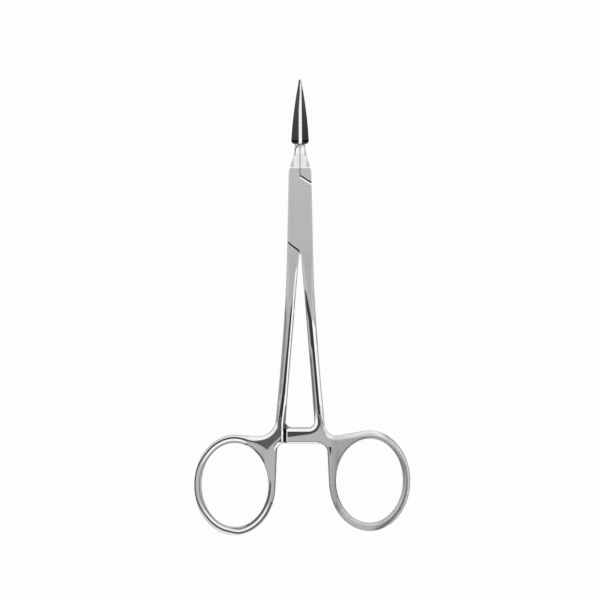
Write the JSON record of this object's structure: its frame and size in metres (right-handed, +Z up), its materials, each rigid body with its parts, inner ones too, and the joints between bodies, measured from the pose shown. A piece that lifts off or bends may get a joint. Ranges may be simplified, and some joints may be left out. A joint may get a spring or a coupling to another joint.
{
  "type": "root tip forceps",
  "caption": "Slender straight ring-handled forceps with fine tapered jaws, a box lock pivot and an interlocking ratchet, closed and lying flat.",
  "frame": {"origin": "where the pivot axis meets the underside of the box lock", "axes": "+Z up out of the face that shows, +Y along the length towards the jaw tips, +X to the right"},
  "size_m": [0.0568, 0.12, 0.0044],
  "materials": {
    "steel": "satin stainless steel, polished on the shanks and rings",
    "pin_steel": "satin stainless steel, ground flush"
  },
  "bodies": {
    "box_body": {"box_half": "steel", "pivot_pin": "pin_steel"},
    "tongue_body": {"tongue_half": "steel"}
  },
  "joints": [
    {"name": "lock_hinge", "type": "hinge", "parent": "box_body", "child": "tongue_body", "pos_m": [0, 0, 0], "axis": [0, 0, -1], "range_deg": [0, 50]}
  ]
}
